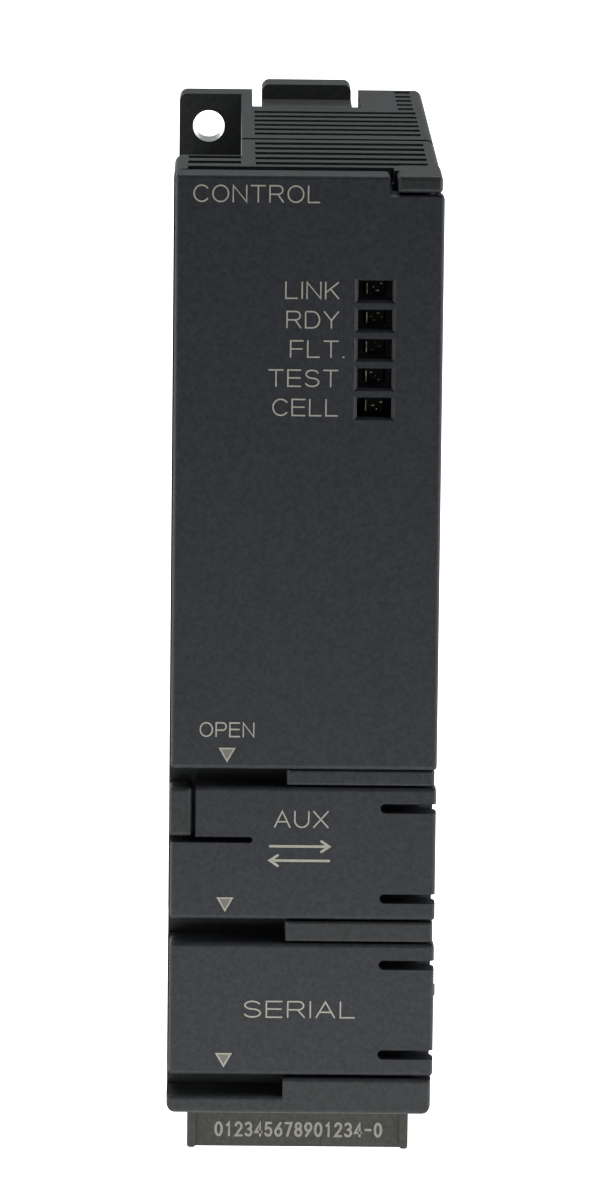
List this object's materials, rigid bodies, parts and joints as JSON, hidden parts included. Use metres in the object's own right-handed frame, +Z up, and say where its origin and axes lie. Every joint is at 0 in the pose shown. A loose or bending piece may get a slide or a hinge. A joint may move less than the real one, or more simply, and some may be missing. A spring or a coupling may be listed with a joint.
{
  "type": "plc module",
  "caption": "Slim rack-mounted controller module in charcoal plastic with hinged front covers, indicator windows, ventilation slots and a sprung fixing hook.",
  "frame": {"origin": "centre of the rear face, which lies against the rack", "axes": "+Z up along the module's height, +Y backwards into the rack, +X to the right seen from the front"},
  "size_m": [0.028, 0.0928, 0.1044],
  "materials": {
    "case_plastic": "fine matte charcoal moulding",
    "cover_plastic": "fine matte charcoal moulding, a shade bluer than the case",
    "tab_plastic": "matte warm grey moulding",
    "label_film": "satin silver film, blank",
    "clear_plastic": "clear moulding, slightly smoked",
    "lamp_resin": "cast resin",
    "board_laminate": "green solder resist over glass laminate",
    "cream_plastic": "cream moulding",
    "chip_epoxy": "black moulding compound",
    "plated_metal": "bright tin plate",
    "capacitor_sleeve": "shrink sleeve, dark blue",
    "ferrite": "sintered grey",
    "connector_plastic": "black glass-filled moulding",
    "contact_metal": "gold flash",
    "switch_plastic": "blue moulding",
    "lever_plastic": "white moulding",
    "cell_sleeve": "printed shrink sleeve, blank",
    "wire_insulation": "thin insulation"
  },
  "bodies": {
    "root": {"front_case": "case_plastic", "rear_case": "case_plastic", "number_tab": "tab_plastic", "rating_label": "label_film", "light_guide": "clear_plastic", "indicator_lamps": "lamp_resin", "main_board": "board_laminate", "interface_board": "board_laminate", "board_connector": "cream_plastic", "processor_chip": "chip_epoxy", "memory_chips": "chip_epoxy", "interface_chips": "chip_epoxy", "quartz_crystal": "plated_metal", "capacitors": "capacitor_sleeve", "power_coil": "ferrite", "backplane_connector": "connector_plastic", "backplane_contacts": "contact_metal", "data_socket_shell": "plated_metal", "data_socket_insert": "connector_plastic", "serial_socket_housing": "connector_plastic", "serial_socket_shell": "plated_metal", "serial_socket_insert": "connector_plastic", "mode_switch_body": "switch_plastic", "battery_cell": "cell_sleeve", "battery_clamp": "connector_plastic", "battery_lead": "wire_insulation", "battery_plug": "lever_plastic", "battery_header": "cream_plastic", "board_screws": "plated_metal"},
    "front_cover": {"front_cover": "cover_plastic"},
    "data_port_cover": {"data_port_cover": "cover_plastic"},
    "serial_port_cover": {"serial_port_cover": "cover_plastic"},
    "battery_cover": {"battery_cover": "case_plastic"},
    "fixing_hook": {"fixing_hook": "case_plastic"},
    "mode_lever": {"mode_lever": "lever_plastic"}
  },
  "joints": [
    {"name": "front_cover_hinge", "type": "hinge", "parent": "root", "child": "front_cover", "pos_m": [0.0122, -0.0874, 0.018], "axis": [0, 0, 1], "range_deg": [0, 110]},
    {"name": "data_port_cover_hinge", "type": "hinge", "parent": "root", "child": "data_port_cover", "pos_m": [0.0122, -0.0866, -0.0214], "axis": [0, 0, 1], "range_deg": [0, 110]},
    {"name": "serial_port_cover_hinge", "type": "hinge", "parent": "root", "child": "serial_port_cover", "pos_m": [0.0122, -0.0866, -0.0379], "axis": [0, 0, 1], "range_deg": [0, 110]},
    {"name": "fixing_hook_press", "type": "hinge", "parent": "root", "child": "fixing_hook", "pos_m": [0.0005, -0.01855, 0.0481], "axis": [-1, 0, 0], "range_deg": [0, 5], "stiffness_Nm_per_rad": 0.3},
    {"name": "mode_lever_tilt", "type": "hinge", "parent": "root", "child": "mode_lever", "pos_m": [-0.005, -0.0799, 0.006], "axis": [1, 0, 0], "range_deg": [-18, 18]},
    {"name": "battery_cover_hinge", "type": "hinge", "parent": "root", "child": "battery_cover", "pos_m": [0, -0.0115, -0.0482], "axis": [1, 0, 0], "range_deg": [0, 95]}
  ]
}
